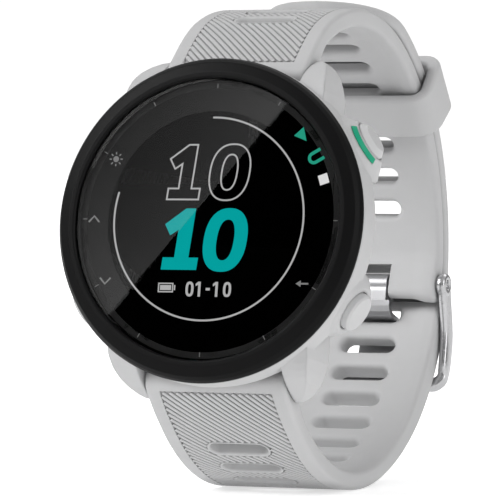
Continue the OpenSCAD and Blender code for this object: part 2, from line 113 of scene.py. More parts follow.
def new_object(name, verts, faces, sharp=40.0, weld=0.002):
    """A mesh object from points in millimetres, welded, with edges over an angle kept sharp."""
    mesh = bpy.data.meshes.new(name)
    mesh.from_pydata([Vector(v) * MM for v in verts], [], faces)
    bm = bmesh.new()
    bm.from_mesh(mesh)
    bmesh.ops.remove_doubles(bm, verts=bm.verts, dist=weld * MM)
    bmesh.ops.dissolve_degenerate(bm, edges=bm.edges, dist=weld * 0.5 * MM)
    loose = [v for v in bm.verts if not v.link_faces]
    bmesh.ops.delete(bm, geom=loose, context="VERTS")
    bmesh.ops.recalc_face_normals(bm, faces=bm.faces)
    limit = math.radians(sharp)
    for f in bm.faces:
        f.smooth = True
    for e in bm.edges:
        if len(e.link_faces) == 2 and e.calc_face_angle(0) > limit:
            e.smooth = False
    bm.to_mesh(mesh)
    bm.free()
    return put(name, mesh)


class Build:
    """Collects points and faces of one mesh."""

    def __init__(self):
        self.verts, self.faces = [], []

    def add(self, p):
        """Adds a point and returns its number."""
        self.verts.append(p)
        return len(self.verts) - 1

    def grid(self, rows, closed=False):
        """Faces between rows of point numbers, each row joined to the next."""
        for a, b in zip(rows, rows[1:]):
            n = len(a)
            for i in range(n if closed else n - 1):
                j = (i + 1) % n
                self.faces.append((a[i], a[j], b[j], b[i]))


# ---- Strap ----
RIB_PITCH, RIB_DEPTH = 0.98, 0.31      # distance between ribs across the strap, and their height
RIB_ZONE = 7.85                        # half width of the ribbed zone
RIB_SLANT = math.radians(43)
RIB_HALF = 0.29                        # half width of a rib at its foot
RIB_CLEAR = 0.05                       # gap between a rib's end and a slot's rim
RIB_SHIFT = 0.2                        # moves all ribs across the strap
RIB_PIECE = 1.1                        # length of a rib's straight pieces
RIM, RIM_FLANK = 0.38, 0.07            # smooth rim round a slot, and its slope down to the sunk floor
UPPER_RIBS = (0.0, 128.3)
LOWER_RIBS = (-146.2, 60.4)
# Columns across one half of the ribbed zone, then across one smooth border and round its edge
ZONE_X = [0, 0.98, 1.97, SLOT_SPINE, 3.4, 3.88, 4.42, 5.1, 6.0, 6.75, RIB_ZONE]
EDGE_R, EDGE_STEPS = 0.65, 5
BORDER_X = [(RIB_ZONE + 0.1, 0.0), (RIB_ZONE + 0.3, 0.0), (8.8, 0.0)] + [
    (HALF_W - EDGE_R * (1 - math.sin(math.radians(90 * k / EDGE_STEPS))),
     -EDGE_R * (1 - math.cos(math.radians(90 * k / EDGE_STEPS)))) for k in range(EDGE_STEPS + 1)]
SLOT_ROWS = [-1.63, -0.79, 0.0, 0.79, 1.63]     # rows through a slot's cell, from its middle
SLOT_NEAR = 8                          # degrees past which a slot is never the nearest
OUT_FILLET, IN_FILLET = 0.32, 0.8
HOLE_HALF = 1.12                       # half height of a slot between its rounded rims
CELL_HALF, LAST_HALF = 4.5, 4.3        # half of a slot's stretch in degrees, and of the tail's last one
FIRST_RISE = 1.15                      # how far the lower half leaves the wrist before the buckle
CAP_STEPS, TIP_STEPS, TIP_TURN = 7, 12, 85.0
TROUGH_DEPTH, TROUGH_HALF, TROUGH_RUN = 0.5, 8.7, 2.6     # hollow of the strap's inner face


def trough(x):
    """How far the inner face lies below its rounded rims."""
    return TROUGH_DEPTH * ease((TROUGH_HALF - abs(x)) / TROUGH_RUN)


def columns():
    """(x, height) across the strap, with no height inside the ribbed zone."""
    zone = [-x for x in ZONE_X[:0:-1]] + ZONE_X
    left = [(-x, h) for x, h in BORDER_X[::-1]]
    return left + [(x, None) for x in zone] + list(BORDER_X)


COLS = columns()
LAST_COL = len(COLS) - 1
ZONE_FROM = next(i for i, c in enumerate(COLS) if c[1] is None)
ZONE_TO = LAST_COL - ZONE_FROM


def height_at(col, sunk, outside):
    """How far a column lies above the outer face, or above the inner one."""
    x, h = COLS[col]
    if not outside:
        return (h or 0.0) - trough(x)
    if h is not None:
        return h
    return -RIB_DEPTH if sunk else 0.0


class Row:
    """One line across the strap: its outer and inner points in the y-z plane, with their normals."""

    def __init__(self, outer, inner, out_n, in_n, sunk=False, width=1.0):
        self.outer, self.inner, self.out_n, self.in_n = outer, inner, out_n, in_n
        self.sunk, self.width = sunk, width


def on_row(row, x, h, outside):
    """The point at x of a row, at a height above its outer or inner face."""
    base, n = (row.outer, row.out_n) if outside else (row.inner, row.in_n)
    p = base + n * h
    return (x * row.width, p.x, p.y)


class Strap:
    """One half of the strap as two sheets of equal layout, joined along edges, slots and ends."""

    def __init__(self, outer, inner, slots, ribs):
        self.outer, self.inner, self.slots = outer, inner, slots
        self.ribs_from, self.ribs_to = ribs
        self.b = Build()

    def row_at(self, a, width=1.0):
        sunk = self.ribs_from < a < self.ribs_to
        n = ring_point(1, a)
        return Row(ring_point(self.outer(a), a), ring_point(self.inner(a), a), n, -n, sunk, width)

    def point(self, row, col, outside):
        """Adds the point where a row meets a column, and returns its number."""
        return self.b.add(on_row(row, COLS[col][0], height_at(col, row.sunk, outside), outside))

    def sheets(self, rows, keep=lambda i: True):
        """Sheets and side walls through rows, where keep says which columns the sheets have."""
        for outside in (True, False):
            lines = [[self.point(r, i, outside) for i in range(LAST_COL + 1)] for r in rows]
            for a, b in zip(lines, lines[1:]):
                for i in range(LAST_COL):
                    if keep(i):
                        self.b.faces.append((a[i], a[i + 1], b[i + 1], b[i]))
        self.walls(rows, 0)
        self.walls(rows, LAST_COL)

    def walls(self, rows, col):
        """The wall between both sheets along one column."""
        self.b.grid([[self.point(r, col, True), self.point(r, col, False)] for r in rows])

    def end(self, row, first, last):
        """Closes the strap along one row between two columns."""
        self.b.grid([[self.point(row, i, True), self.point(row, i, False)] for i in range(first, last + 1)])

    def slot_cell(self, a, below, above):
        """The stretch with one slot: below and above are the angles from its middle to the cell's ends."""
        per = math.degrees(2 / (self.outer(a) + self.inner(a)))
        ys = [-below / per] + SLOT_ROWS + [above / per]
        rows = [self.row_at(a + y * per) for y in ys]
        self.sheets(rows, keep=lambda i: not ZONE_FROM <= i < ZONE_TO)
        # outline of the zone, once round, as (x, y)
        xs = [COLS[i][0] for i in range(ZONE_FROM, ZONE_TO + 1)]
        border = [(x, ys[0]) for x in xs] + [(xs[-1], y) for y in ys[1:-1]]
        border += [(x, ys[-1]) for x in xs[::-1]] + [(xs[0], y) for y in ys[-2:0:-1]]

        def ring(d, h, outside, share=0.0):
            """Points at a distance from the hole, moved by a share of the way to the zone's outline."""
            ids = []
            for x, y in border:
                c = min(SLOT_SPINE, max(-SLOT_SPINE, x))
                n = Vector((x - c, y)).normalized() * (HOLE_HALF + d)
                p = Vector((c + n.x, n.y)).lerp(Vector((x, y)), share)
                drop = 0 if outside else trough(p.x)
                ids.append(self.b.add(on_row(self.row_at(a + p.y * per), p.x, h - drop, outside)))
            return ids

        for outside, radius, steps in ((True, OUT_FILLET, 4), (False, IN_FILLET, 5)):
            loops = []
            for k in range(steps + 1):
                t = math.radians(90 - 90 * k / steps)
                loops.append(ring(radius * (1 - math.sin(t)), -radius * (1 - math.cos(t)), outside))
            foot, level = radius, 0.0
            if outside and rows[0].sunk:
                foot, level = RIM + RIM_FLANK, -RIB_DEPTH
                loops.append(ring(RIM, 0.0, outside))
                loops.append(ring(foot, level, outside))
            loops.append(ring(foot, level, outside, 0.5))
            loops.append(ring(0, level, outside, 1.0))
            self.b.grid(loops, closed=True)
        self.b.grid([ring(0, -OUT_FILLET, True), ring(0, -IN_FILLET, False)], closed=True)

    def slot_distance(self, x, a):
        """Distance in the surface from the nearest slot's outline, below zero inside it."""
        best = math.inf
        for s in self.slots:
            if abs(a - s) < SLOT_NEAR:
                y = math.radians(a - s) * (self.outer(s) + self.inner(s)) / 2
                c = min(SLOT_SPINE, max(-SLOT_SPINE, x))
                best = min(best, math.hypot(x - c, y) - SLOT_HALF)
        return best

    def lengths(self, step=0.5):
        """Angles along the ribbed stretch, and the length of the outer face up to each."""
        count = int((self.ribs_to - self.ribs_from) / step)
        angles = [self.ribs_from + step * k for k in range(count + 1)]
        lengths = [0.0]
        for a, b in zip(angles, angles[1:]):
            lengths.append(lengths[-1] + math.radians(b - a) * (self.outer(a) + self.outer(b)) / 2)
        return angles, lengths

    def ribs(self):
        """Slanting ribs that stand on the sunk floor, cut short at slots and borders."""
        angles, lengths = self.lengths()
        length = lengths[-1]
        limit = RIB_ZONE - 0.02
        c, n = math.cos(RIB_SLANT), math.sin(RIB_SLANT)

        def angle_at(s):
            k = min(len(angles) - 2, max(0, bisect.bisect_right(lengths, s) - 1))
            return angles[k] + (angles[k + 1] - angles[k]) * (s - lengths[k]) / (lengths[k + 1] - lengths[k])

        # a rib is a line x = x0 + t n, s = t c, with s the length along the strap
        first = -int(length * math.tan(RIB_SLANT) / RIB_PITCH) - 10
        for k in range(first, 12):
            x0 = k * RIB_PITCH + RIB_SHIFT

            def free(t):
                x, s = x0 + t * n, t * c
                return (abs(x) < limit and 0.1 < s < length - 0.1
                        and self.slot_distance(x, angle_at(s)) > RIM + RIB_CLEAR)

            def at(t, u, h):
                """Point of the rib, u across it and h above the sunk floor."""
                g = angle_at(min(length - 0.02, max(0.02, t * c - u * n)))
                p = ring_point(self.outer(g) - RIB_DEPTH + h, g)
                return self.b.add((x0 + t * n + u * c, p.x, p.y))

            t0, t1 = max(0.0, (-limit - x0) / n), min(length / c, (limit - x0) / n)
            for a, b in free_runs(free, t0, t1):
                pieces = max(1, round((b - a) / RIB_PIECE))
                steps = [a + (b - a) * i / pieces for i in range(pieces + 1)]
                rows = [[at(t, u, h) for u, h in RIB_PROFILE] for t in steps]
                self.b.grid(rows)
                self.b.faces.append(tuple(rows[0][::-1]))
                self.b.faces.append(tuple(rows[-1]))


RIB_FLANK = [(RIB_HALF, -0.05), (RIB_HALF - 0.005, 0.12), (RIB_HALF - 0.06, RIB_DEPTH - 0.05),
             (RIB_HALF - 0.17, RIB_DEPTH)]
RIB_PROFILE = [(-u, h) for u, h in RIB_FLANK] + RIB_FLANK[::-1]


def free_runs(free, t0, t1, step=0.3):
    """Stretches between t0 and t1 where a test holds, with their ends found by halving."""
    runs = [[]]
    for i in range(int((t1 - t0) / step) + 1 if t1 > t0 else 0):
        t = t0 + i * step + 0.001
        if free(t):
            runs[-1].append(t)
        elif runs[-1]:
            runs.append([])

    def edge(end, sign):
        lo, hi = 0.0, step
        for _ in range(6):
            mid = (lo + hi) / 2
            if free(end + sign * mid):
                lo = mid
            else:
                hi = mid
        return end + sign * lo

    return [(edge(run[0], -1), edge(run[-1], 1)) for run in runs if len(run) >= 3]


def cap_rows(row, centre, radius, turn, count):
    """Rows round a rounded end, from a row's two points to the point that both sheets share."""
    n = ring_point(1, turn)
    out_to = (row.outer - centre).normalized()
    in_to = (row.inner - centre).normalized()
    out_r, in_r = (row.outer - centre).length, (row.inner - centre).length
    rows = []
    for k in range(1, count + 1):
        t = k / count
        o, i = out_to.slerp(n, t, n), in_to.slerp(n, t, n)
        o_r = out_r + (radius - out_r) * ease(t * 1.6)
        i_r = in_r + (radius - in_r) * ease(t * 1.6)
        rows.append(Row(centre + o * o_r, centre + i * i_r, o, i))
    return rows


def spaced(a, b, step):
    """Even values from a to b, no further apart than a step."""
    n = max(1, math.ceil(abs(b - a) / step))
    return [a + (b - a) * k / n for k in range(n + 1)]


def build_strap_upper():
    """The half with the buckle, thinner towards the spring bar and over the buckle's lobes."""
    def outer(a):
        at_bar = ease((a - 110) / (UPPER_BAR_AT - 110))
        at_lobes = ease(1 - (a - PIVOT_AT) / 7)
        return OUTER_R - 0.75 * at_bar - 0.35 * at_lobes

    def inner(a):
        at_bar = ease((a - 114) / (UPPER_BAR_AT - 114))
        at_lobes = ease(1 - (a - PIVOT_AT) / 9)
        return LOOP_R - 1.7 * at_bar - 1.2 * at_lobes

    s = Strap(outer, inner, UPPER_SLOTS, UPPER_RIBS)
    # pivot end: two lobes beside the notch
    left, right = COLS.index((-NOTCH_HALF, None)), COLS.index((NOTCH_HALF, None))
    pivot = ring_point(PIVOT_R, PIVOT_AT)
    lobe = [s.row_at(a) for a in spaced(NOTCH_END, PIVOT_AT, 1.2)]
    lobe += cap_rows(lobe[-1], pivot, LOBE_R, PIVOT_AT - 90, CAP_STEPS + 1)
    s.sheets(lobe, keep=lambda i: i < left or i >= right)
    s.walls(lobe, left)
    s.walls(lobe, right)
    s.end(lobe[0], left, right)
    start, stop = UPPER_RIBS
    below_ribs = spaced(NOTCH_END, start - 0.05, 1.0)
    s.sheets([s.row_at(a) for a in below_ribs + [start + 0.05, 1, 2, 3, 4, UPPER_SLOTS[0] - CELL_HALF]])
    for a in UPPER_SLOTS:
        s.slot_cell(a, CELL_HALF, CELL_HALF)
    tail = [s.row_at(a) for a in spaced(UPPER_SLOTS[-1] + CELL_HALF, stop - 0.05, 1.2)]
    tail += [s.row_at(stop + 0.05), s.row_at(UPPER_BAR_AT)]
    bar = ring_point(UPPER_BAR_R, UPPER_BAR_AT)
    tail += cap_rows(tail[-1], bar, BARREL_R, UPPER_BAR_AT + 90, CAP_STEPS)
    s.sheets(tail)
    s.ribs()
    return new_object("strap_upper_soft", s.b.verts, s.b.faces)


def build_strap_lower():
    """The half with the tail, which lies on the upper half past the buckle and ends in a round tip."""
    def outer(a):
        at_bar = ease(1 - (a - LOWER_BAR_AT) / 14)
        on_tail = ease((a + 78) / 66)
        near_tip = ease((a - 60) / 28)
        return OUTER_R + 0.3 * at_bar + (TAIL_R + TAIL_T - OUTER_R) * on_tail - 0.5 * near_tip

    def inner(a):
        at_bar = ease(1 - (a - LOWER_BAR_AT) / 14)
        rise = FIRST_RISE * ease((a + 42) / 24)
        step = (TAIL_R - LOOP_R - FIRST_RISE) * ease((a + 18.5) / 6.5)
        return LOOP_R - at_bar + rise + step

    s = Strap(outer, inner, LOWER_SLOTS, LOWER_RIBS)
    start, stop = LOWER_RIBS
    head = [s.row_at(LOWER_BAR_AT)]
    bar = ring_point(LOWER_BAR_R, LOWER_BAR_AT)
    cap = cap_rows(head[0], bar, BARREL_R, LOWER_BAR_AT - 90, CAP_STEPS)
    head = cap[::-1] + head
    halves = [(b - a) / 2 for a, b in zip(LOWER_SLOTS, LOWER_SLOTS[1:])]
    belows = [CELL_HALF] + halves
    aboves = halves + [LAST_HALF]
    s.sheets(head + [s.row_at(a) for a in spaced(start + 0.05, LOWER_SLOTS[0] - CELL_HALF, 1.2)])
    for a, below, above in zip(LOWER_SLOTS, belows, aboves):
        s.slot_cell(a, below, above)
    tip_from = TAIL_END - math.degrees(HALF_W / (TAIL_R + TAIL_T / 2))
    tail = spaced(LOWER_SLOTS[-1] + LAST_HALF, stop - 0.05, 1.0) + [stop + 0.05] + spaced(61, tip_from, 1.0)
    s.sheets([s.row_at(a) for a in tail])
    tip = []
    for k in range(TIP_STEPS + 1):
        t = math.radians(TIP_TURN * k / TIP_STEPS)
        a = tip_from + (TAIL_END - tip_from) * math.sin(t)
        tip.append(s.row_at(a, math.cos(t)))
    s.sheets(tip)
    s.end(tip[-1], 0, LAST_COL)
    s.ribs()
    return new_object("strap_lower_soft", s.b.verts, s.b.faces)


# ---- Keeper ----
KEEPER_FROM, KEEPER_SPAN, KEEPER_MID_R = 32.25, 13.5, 33
KEEPER_SOFT = 0.72                     # radius of the band's soft edges
KEEPER_HOLE = dict(half_w=HALF_W + 0.3, r0=29.75, r1=35.95, corners=(1.3, 1.3))
KEEPER_SKIN = dict(half_w=HALF_W + 2, r0=28.15, r1=37.65, corners=(3.2, 2.4))


def rounded_loop(half_w, r0, r1, corners, steps=6):
    """A rounded rectangle as (x, radius), once round, with a corner radius inside and one outside."""
    pts = []
    c0, c1 = corners
    for cx, cr, start, c in ((half_w, r1, 0, c1), (-half_w, r1, 90, c1), (-half_w, r0, 180, c0),
                             (half_w, r0, 270, c0)):
        sx, sr = (1 if cx > 0 else -1), (1 if cr == r1 else -1)
        for k in range(steps + 1):
            t = math.radians(start + 90 * k / steps)
            pts.append((cx - sx * c + c * math.cos(t), cr - sr * c + c * math.sin(t)))
    return pts


def build_keeper():
    """A closed band round both halves, with soft edges."""
    inner, outer = rounded_loop(**KEEPER_HOLE), rounded_loop(**KEEPER_SKIN)
    pairs = []
    for p, q, p2, q2 in zip(inner, outer, inner[1:] + inner[:1], outer[1:] + outer[:1]):
        n = max(1, math.ceil(max(math.dist(p, p2), math.dist(q, q2)) / 1.5))
        pairs += [(Vector(p).lerp(Vector(p2), k / n), Vector(q).lerp(Vector(q2), k / n)) for k in range(n)]
    b = Build()
    rows = []
    length = math.radians(KEEPER_SPAN) * KEEPER_MID_R
    # round the band's cross-section, corner by corner: along is 0 or 1, and so is out
    for along, out, turn in ((1, 1, 0), (0, 1, 90), (0, 0, 180), (1, 0, 270)):
        for k in range(6):
            t = math.radians(turn + 90 * k / 5)
            u = (length - KEEPER_SOFT if along else KEEPER_SOFT) + KEEPER_SOFT * math.cos(t)
            a = KEEPER_FROM + KEEPER_SPAN * u / length
            row = []
            for p, q in pairs:
                wall = (q - p).length
                v = (wall - KEEPER_SOFT if out else KEEPER_SOFT) + KEEPER_SOFT * math.sin(t)
                pt = p.lerp(q, v / wall)
                y = ring_point(pt.y, a)
                row.append(b.add((pt.x, y.x, y.y)))
            rows.append(row)
    b.grid(rows + rows[:1], closed=True)
    return new_object("keeper_soft", b.verts, b.faces, sharp=60)


# ---- Buckle ----
ARM_HALF, BAR_HALF = 0.675, 0.95       # half thickness of an arm, and of the cross bar
ARM_X = HALF_W + 0.15 + ARM_HALF
# An arm from its eye to the bar: radius, angle, half width
ARM = [(30.8, -11.6, 1.5), (31.3, -14, 1.45), (32.15, -17, 1.35), (32.95, -19.7, 1.4), (33.7, -22.3, 1.45),
       (34.25, -25.3, 1.45), (34.7, -28.6, 1.4), (35.05, -31.4, 1.2)]
CROSS_BAR = ring_point(35.4, -34.1)
BEND_R, BEND_STEPS = 1.5, 6
BAR_SIDES, BAR_POWER = 20, 0.62        # the bar's cross-section is a square with full round corners
# Half of an eye's section: radius from the pin, and distance from the arm's middle
EYE = [(0.78, 0.6), (0.86, ARM_HALF), (1.25, ARM_HALF), (1.44, 0.63), (1.58, 0.5), (1.67, 0.3), (1.7, 0.1)]
EYE_SIDES = 32
ACROSS = Vector((1, 0, 0))


def buckle_path():
    """Middle line of the frame from eye to eye, as (point, half thickness, half width)."""
    half = [(Vector((ARM_X, *ring_point(r, a))), ARM_HALF, w) for r, a, w in ARM]
    corner = Vector((ARM_X, *CROSS_BAR))
    along = (corner - half[-1][0]).normalized()
    for k in range(BEND_STEPS + 1):
        t = math.radians(90 * k / BEND_STEPS)
        p = corner - along * BEND_R * (1 - math.sin(t)) - ACROSS * BEND_R * (1 - math.cos(t))
        half.append((p, ARM_HALF + (BAR_HALF - ARM_HALF) * k / BEND_STEPS, BAR_HALF))
    half.append((Vector((4, *CROSS_BAR)), BAR_HALF, BAR_HALF))
    return half + [(Vector((-p.x, p.y, p.z)), w, d) for p, w, d in half[::-1]]


def in_step(row, last):
    """The same ring, started and run so that it follows the ring before it most closely."""
    turned = [row[::flip][k:] + row[::flip][:k] for flip in (1, -1) for k in range(len(row))]
    return min(turned, key=lambda ring: sum(math.dist(p, q) for p, q in zip(ring[::5], last[::5])))


def build_buckle():
    """The frame as one bent bar: an eye, an arm, the cross bar, and the other arm with its eye."""
    b = Build()
    path = buckle_path()
    outward = Vector((0, *CROSS_BAR)).normalized()
    rows = []
    for i, (p, w, d) in enumerate(path):
        t = (path[min(len(path) - 1, i + 1)][0] - path[max(0, i - 1)][0]).normalized()
        out = t.cross(ACROSS)
        if out.length < 0.3:
            out = outward.copy()
        out.normalize()
        if out.dot(outward) < 0:
            out.negate()
        side = t.cross(out).normalized()
        row = []
        for k in range(BAR_SIDES):
            c, s = math.cos(2 * math.pi * k / BAR_SIDES), math.sin(2 * math.pi * k / BAR_SIDES)
            x = math.copysign(abs(c) ** BAR_POWER, c) * w
            y = math.copysign(abs(s) ** BAR_POWER, s) * d
            row.append(tuple(p + side * x + out * y))
        rows.append(in_step(row, rows[-1]) if rows else row)
    ids = [[b.add(p) for p in row] for row in rows]
    b.grid(ids, closed=True)
    b.faces.append(tuple(ids[0]))
    b.faces.append(tuple(ids[-1][::-1]))
    # eyes round the pivot pin
    pivot = ring_point(PIVOT_R, PIVOT_AT)
    section = EYE + [(r, -x) for r, x in EYE[::-1]]
    turns = [2 * math.pi * k / EYE_SIDES for k in range(EYE_SIDES)]
    for sx in (1, -1):
        rows = []
        for r, x in section:
            rim = [(pivot.x + r * math.cos(t), pivot.y + r * math.sin(t)) for t in turns]
            rows.append([b.add((sx * (ARM_X + x), *p)) for p in rim])
        b.grid(rows + rows[:1], closed=True)
    return new_object("buckle_frame_bent", b.verts, b.faces, sharp=50)


# ---- Flat outlines for the display and its border, in millimetres on the dial ----
SLANT = 0.10                           # how far the large numerals lean
MITRE_LIMIT = 0.35                     # keeps the mitre of a sharp corner short


def offset_loop(loop, d):
    """A closed outline moved outwards by d, with mitred corners. Outlines run anticlockwise."""
    out = []
    n = len(loop)
    for i in range(n):
        p, q, r = Vector(loop[i - 1]), Vector(loop[i]), Vector(loop[(i + 1) % n])
        e0, e1 = (q - p).normalized(), (r - q).normalized()
        n0, n1 = Vector((e0.y, -e0.x)), Vector((e1.y, -e1.x))
        m = n0 + n1
        m /= max(MITRE_LIMIT, m.length_squared / 2)
        out.append(tuple(q + m * d))
    return out


def flat_piece(name, loops, z, thick=0.03):
    """A thin plate on the dial from outlines, where an outline inside another is a hole."""
    curve = bpy.data.curves.new(name, "CURVE")
    curve.dimensions = "2D"
    curve.fill_mode = "BOTH"
    curve.extrude = thick / 2 * MM
    for loop in loops:
        sp = curve.splines.new("POLY")
        sp.points.add(len(loop) - 1)
        for pt, (x, y) in zip(sp.points, loop):
            pt.co = (x * MM, y * MM, 0, 1)
        sp.use_cyclic_u = True
    tmp = put(name + "_curve", curve)
    bpy.context.view_layer.update()
    mesh = bpy.data.meshes.new_from_object(tmp.evaluated_get(bpy.context.evaluated_depsgraph_get()))
    bpy.data.objects.remove(tmp)
    mesh.name = name
    mesh.transform(HEAD @ Matrix.Translation((0, 0, z * MM)))
    bm = bmesh.new()
    bm.from_mesh(mesh)
    bmesh.ops.remove_doubles(bm, verts=bm.verts, dist=1e-7)
    bmesh.ops.recalc_face_normals(bm, faces=bm.faces)
    bm.to_mesh(mesh)
    bm.free()
    return put(name, mesh)


def glyph_one(x, y, h):
    """Outline of a large numeral 1 of height h, from its lower left corner."""
    pts = [(0, 0), (0.62, 0), (0.62, 0.2), (0.45, 0.2), (0.45, 1), (0.28, 1), (-0.05, 0.74), (0.07, 0.56),
           (0.2, 0.65), (0.2, 0.2), (0, 0.2)]
    return [(x + (px + SLANT * py) * h, y + py * h) for px, py in pts]


def oval(cx, cy, w, h, power=2.35, count=72):
    """A leaning, squarish oval round its middle, from its half width and half height."""
    pts = []
    for k in range(count):
        t = 2 * math.pi * k / count
        c, s = math.cos(t), math.sin(t)
        px = math.copysign(abs(c) ** (2 / power), c) * w
        py = math.copysign(abs(s) ** (2 / power), s) * h
        pts.append((cx + px + SLANT * py, cy + py))
    return pts


def arc_band(r, w, a0, a1, count=160):
    """A band of a circle from angle a0 to a1, cut off square."""
    def at(rad, a):
        return (rad * math.cos(math.radians(a)), rad * math.sin(math.radians(a)))
    outer = [at(r + w / 2, a0 + (a1 - a0) * k / count) for k in range(count + 1)]
    inner = [at(r - w / 2, a1 + (a0 - a1) * k / count) for k in range(count + 1)]
    return outer + inner


def box_loop(x, y, w, h):
    """A rectangle from its lower left corner."""
    return [(x, y), (x + w, y), (x + w, y + h), (x, y + h)]


def placed(loop, r, at, spin=0.0):
    """An outline drawn round its own middle, put at a radius and angle of the dial and turned."""
    c, s = math.cos(math.radians(spin)), math.sin(math.radians(spin))
    cx, cy = r * math.cos(math.radians(at)), r * math.sin(math.radians(at))
    return [(cx + x * c - y * s, cy + x * s + y * c) for x, y in loop]


def circle_loop(r, count=40):
    turns = [2 * math.pi * k / count for k in range(count)]
    return [(r * math.cos(t), r * math.sin(t)) for t in turns]


def stroke(points, w):
    """An outline of even width along an open line."""
    left, right = [], []
    for i, p in enumerate(points):
        a, b = Vector(points[max(0, i - 1)]), Vector(points[min(len(points) - 1, i + 1)])
        d = (b - a).normalized()
        n = Vector((-d.y, d.x)) * w / 2
        left.append(tuple(Vector(p) + n))
        right.append(tuple(Vector(p) - n))
    return right + left[::-1]


def small_digit(ch, x, y, h):
    """Outlines of a small plain 0, 1 or dash."""
    w = 0.58 * h
    t = 0.17 * h
    if ch == "1":
        return [[(x + 0.3 * w, y), (x + 0.3 * w + t, y), (x + 0.3 * w + t, y + h), (x + 0.3 * w, y + h),
                 (x - 0.02 * w, y + 0.86 * h), (x - 0.02 * w, y + 0.7 * h), (x + 0.3 * w, y + 0.8 * h)]]
    if ch == "0":
        o = []
        for k in range(32):
            c, s = math.cos(2 * math.pi * k / 32), math.sin(2 * math.pi * k / 32)
            o.append((x + w / 2 + math.copysign(abs(c) ** 0.8, c) * w / 2,
                      y + h / 2 + math.copysign(abs(s) ** 0.8, s) * h / 2))
        return [o, offset_loop(o, -t)]
    return [box_loop(x, y + 0.42 * h, 0.5 * w, t)]


# ---- Materials ----
SHADE_REACH = 2.2                      # how far the darkening in corners looks, in millimetres
MIX_A, MIX_B, MIX_OUT = 6, 7, 2        # a Mix node's colour sockets


def node(nt, kind, **inputs):
    """A shader node with some of its inputs set."""
    n = nt.nodes.new(kind)
    for key, value in inputs.items():
        n.inputs[key].default_value = value
    return n


def remap(nt, source, low, high, to_low, to_high):
    """A Map Range node from one range to another; returns its output."""
    n = node(nt, "ShaderNodeMapRange", **{"From Min": low, "From Max": high,
                                          "To Min": to_low, "To Max": to_high})
    nt.links.new(source, n.inputs["Value"])
    return n.outputs[0]


def blank_material(name):
    """A material with an empty node tree, and its output's surface socket."""
    mat = bpy.data.materials.new(name)
    mat.use_nodes = True
    mat.node_tree.nodes.clear()
    return mat, mat.node_tree, mat.node_tree.nodes.new("ShaderNodeOutputMaterial").inputs[0]


def darkened(nt, tone, shade):
    """A colour made darker where faces close by shut out the light."""
    near = node(nt, "ShaderNodeAmbientOcclusion", Distance=SHADE_REACH * MM)
    near.samples = 8
    dim = nt.nodes.new("ShaderNodeMix")
    dim.data_type = "RGBA"
    dim.blend_type = "MULTIPLY"
    dim.inputs["Factor"].default_value = 1.0
    nt.links.new(tone, dim.inputs[MIX_A])
    nt.links.new(remap(nt, near.outputs["AO"], 0.25, 0.85, 1 - shade, 1.0), dim.inputs[MIX_B])
    return dim.outputs[MIX_OUT]


def surface(name, colour, rough, metal=0.0, spread=0.06, patch=350.0, grain=5200.0, grain_h=0.006, spec=0.5,
            round_edge=0.0, coat=0.0, rough_spread=0.08, streak=None, emit=0.0, sheen=0.0, lit=False,
            shade=0.0):
    """A procedural finish: patchy colour, uneven roughness, fine grain as bump and soft edges; shade adds
    painted shade where faces close by shut out the light.

    A lit surface shows its colour by its own light alone, which is painted light."""
    mat, nt, out = blank_material(name)
    bsdf = node(nt, "ShaderNodeBsdfPrincipled", **{"Metallic": metal, "Specular IOR Level": spec,
                                                   "Coat Weight": coat, "Sheen Weight": sheen})
    nt.links.new(bsdf.outputs[0], out)
    source = nt.nodes.new("ShaderNodeTexCoord").outputs["Object"]
    if streak:
        mapping = node(nt, "ShaderNodeMapping", Scale=streak)
        nt.links.new(source, mapping.inputs["Vector"])
        source = mapping.outputs[0]
    big = node(nt, "ShaderNodeTexNoise", Scale=patch, Detail=4.0)
    nt.links.new(source, big.inputs["Vector"])
    mix = nt.nodes.new("ShaderNodeMix")
    mix.data_type = "RGBA"
    mix.inputs[MIX_A].default_value = (*[c * (1 - spread) for c in colour], 1)
    mix.inputs[MIX_B].default_value = (*[min(1, c * (1 + spread)) for c in colour], 1)
    nt.links.new(big.outputs["Fac"], mix.inputs["Factor"])
    tone = mix.outputs[MIX_OUT]
    if emit:
        nt.links.new(tone, bsdf.inputs["Emission Color"])
        bsdf.inputs["Emission Strength"].default_value = emit
    if lit:
        bsdf.inputs["Base Color"].default_value = (0.001, 0.001, 0.001, 1)
    else:
        nt.links.new(darkened(nt, tone, shade) if shade else tone, bsdf.inputs["Base Color"])
    fine = node(nt, "ShaderNodeTexNoise", Scale=grain, Detail=3.0)
    nt.links.new(source, fine.inputs["Vector"])
    smooth, dull = max(0.02, rough - rough_spread), min(1, rough + rough_spread)
    nt.links.new(remap(nt, fine.outputs["Fac"], 0.25, 0.75, smooth, dull), bsdf.inputs["Roughness"])
    bump = node(nt, "ShaderNodeBump", Strength=1.0, Distance=grain_h * MM)
    nt.links.new(fine.outputs["Fac"], bump.inputs["Height"])
    if round_edge:
        soft = node(nt, "ShaderNodeBevel", Radius=round_edge * MM)
        soft.samples = 6
        nt.links.new(soft.outputs[0], bump.inputs["Normal"])
    nt.links.new(bump.outputs[0], bsdf.inputs["Normal"])
    return mat


def black_print(name):
    """A deep black with no shine."""
    return surface(name, (0.0008, 0.0008, 0.0008), 0.6, spread=0.2, grain_h=0.001, spec=0.0)


def glowing_print(name, colour, spread=0.04):
    """A mark of the display or its border, which glows: painted light that stands in for the lamps' light on
    it.
    """
    return surface(name, colour, 0.5, spread=spread, emit=1.0, spec=0.0, lit=True)
